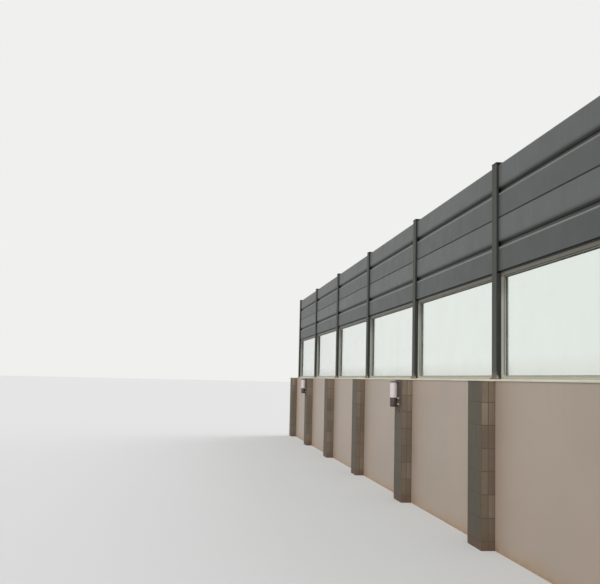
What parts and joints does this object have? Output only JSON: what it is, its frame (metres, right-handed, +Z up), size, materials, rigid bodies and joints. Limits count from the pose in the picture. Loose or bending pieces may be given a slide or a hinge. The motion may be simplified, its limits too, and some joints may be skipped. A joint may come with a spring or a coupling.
{
  "type": "highway noise barrier",
  "caption": "Run of roadside noise barrier bays: a rendered low wall with tiled piers carries steel H posts that hold clear panels below ribbed metal acoustic panels.",
  "frame": {"origin": "ground level on the wall's centre line, under the middle pier", "axes": "+X along the wall towards post 0, -Y towards the road, +Z up"},
  "size_m": [18.406, 0.6199, 3.561],
  "materials": {
    "rendered_wall": "painted cement render, matt, soil splash along the foot",
    "pier_tiles": "dark grey-brown fired facade tiles, matt, fine joints",
    "coping": "cream cast coping slabs, matt, weathered",
    "post_steel": "dark grey satin paint",
    "plate_steel": "dark paint, rusty at the edges and holes",
    "frame_aluminium": "pale coated aluminium, satin",
    "clear_sheet": "clear acrylic sheet, slightly green, glossy, thin dust film",
    "acoustic_metal": "dark grey coated sheet metal, satin",
    "seal_rubber": "black rubber, matt",
    "bedding_mortar": "trowelled mortar, matt",
    "lamp_black": "dark brown-black satin coating",
    "lamp_milk": "milky diffuser, semi-gloss",
    "lamp_bracket": "dark coated steel, satin"
  },
  "bodies": {
    "root": {"acoustic_panels_1": "acoustic_metal", "acoustic_panels_2": "acoustic_metal", "acoustic_panels_3": "acoustic_metal", "acoustic_panels_4": "acoustic_metal", "acoustic_panels_5": "acoustic_metal", "acoustic_panels_6": "acoustic_metal", "bay_copings": "coping", "bedding_strips": "bedding_mortar", "channel_seals": "seal_rubber", "clear_panel_rails": "frame_aluminium", "clear_panel_stiles": "frame_aluminium", "clear_sheet_1": "clear_sheet", "clear_sheet_2": "clear_sheet", "clear_sheet_3": "clear_sheet", "clear_sheet_4": "clear_sheet", "clear_sheet_5": "clear_sheet", "clear_sheet_6": "clear_sheet", "joint_seals": "seal_rubber", "lamp_brackets": "lamp_bracket", "lamp_diffusers": "lamp_milk", "lamp_housings": "lamp_black", "pier_0": "pier_tiles", "pier_1": "pier_tiles", "pier_2": "pier_tiles", "pier_3": "pier_tiles", "pier_4": "pier_tiles", "pier_5": "pier_tiles", "pier_6": "pier_tiles", "pier_copings": "coping", "post_0": "post_steel", "post_1": "post_steel", "post_2": "post_steel", "post_3": "post_steel", "post_4": "post_steel", "post_5": "post_steel", "post_6": "post_steel", "post_cap_plates": "plate_steel", "post_foot_plates": "plate_steel", "wall_bay_1": "rendered_wall", "wall_bay_2": "rendered_wall", "wall_bay_3": "rendered_wall", "wall_bay_4": "rendered_wall", "wall_bay_5": "rendered_wall", "wall_bay_6": "rendered_wall"}
  },
  "joints": []
}
